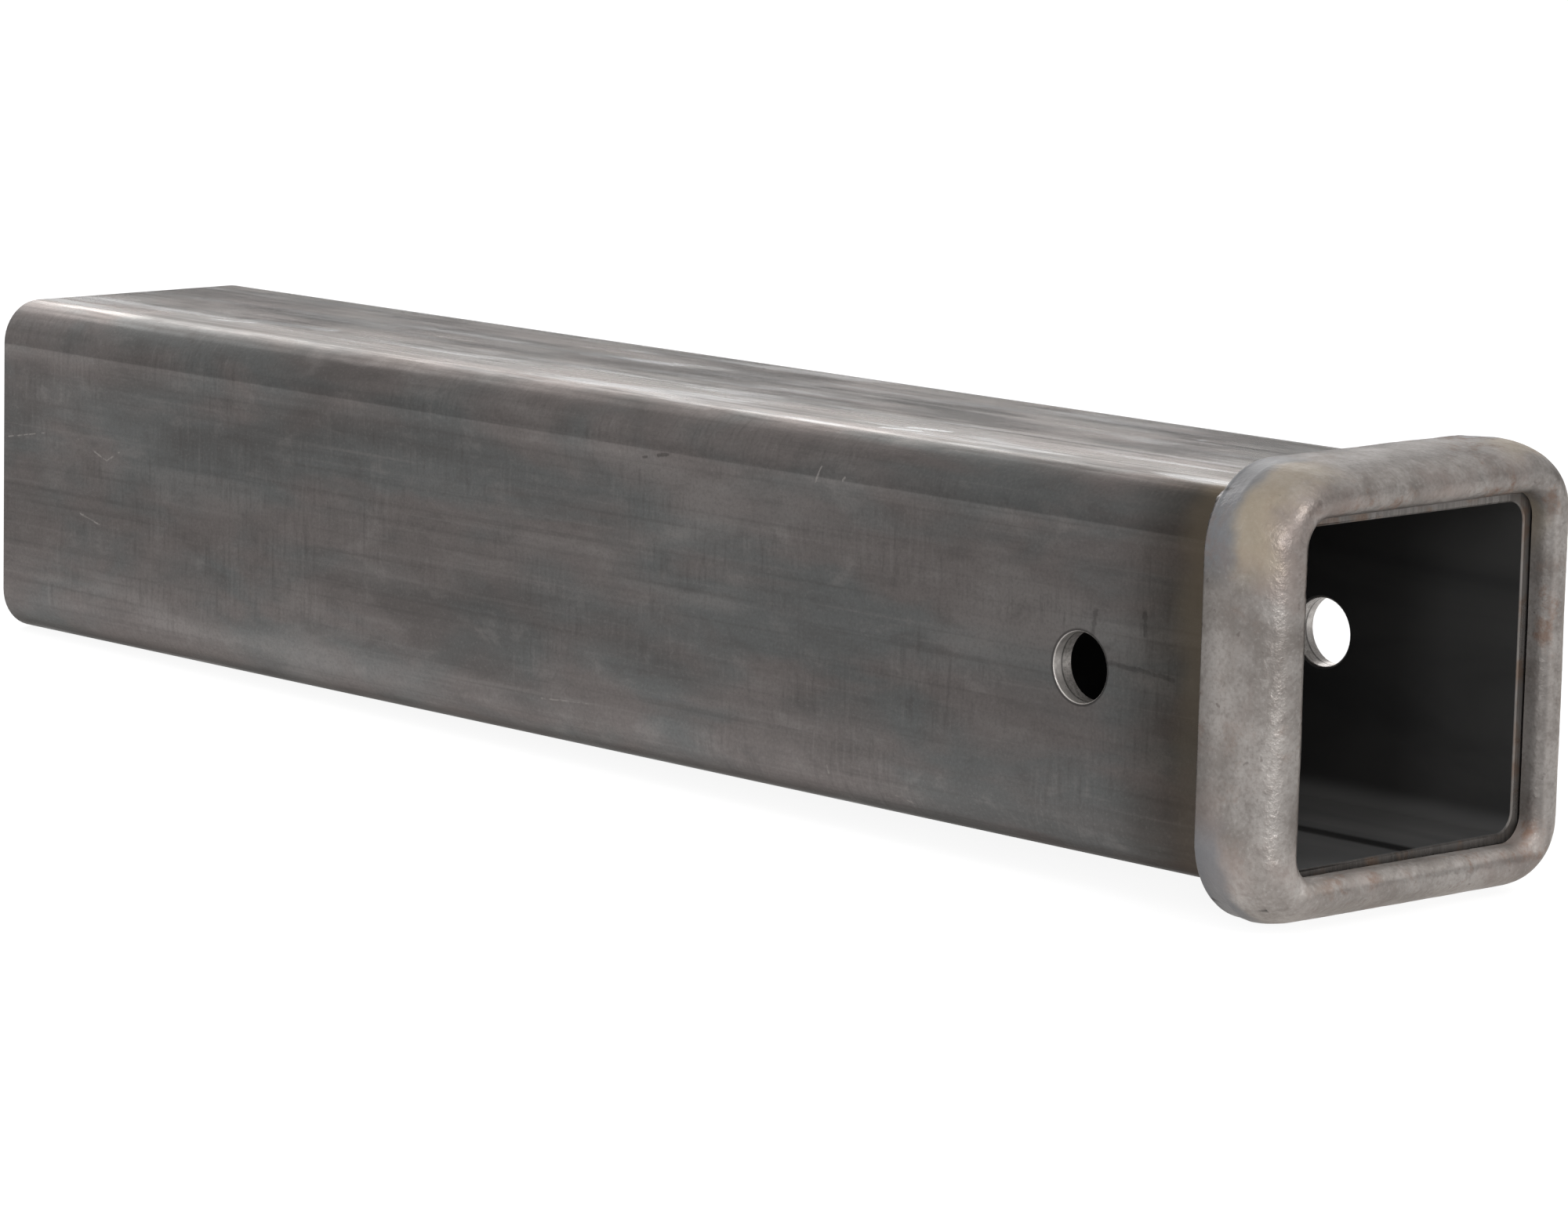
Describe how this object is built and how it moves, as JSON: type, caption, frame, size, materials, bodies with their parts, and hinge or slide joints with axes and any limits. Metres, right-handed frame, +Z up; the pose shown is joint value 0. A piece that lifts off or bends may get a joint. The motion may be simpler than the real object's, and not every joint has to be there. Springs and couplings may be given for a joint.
{
  "type": "hitch receiver tube",
  "caption": "Square steel receiver tube with a forged reinforcement collar welded round its mouth and a cross hole for a hitch pin, to be welded into a towing frame.",
  "frame": {"origin": "where the axis of the pin hole crosses the centreline of the tube", "axes": "+X along the tube and out of its mouth, +Y along the pin hole, +Z up"},
  "size_m": [0.4644, 0.1034, 0.1034],
  "materials": {
    "mill_steel": "mill scale, dull satin",
    "forged_steel": "forged, blasted satin",
    "weld_steel": "as welded, rippled"
  },
  "bodies": {
    "root": {"receiver_tube": "mill_steel", "reinforcement_collar": "forged_steel", "collar_weld": "weld_steel"}
  },
  "joints": []
}
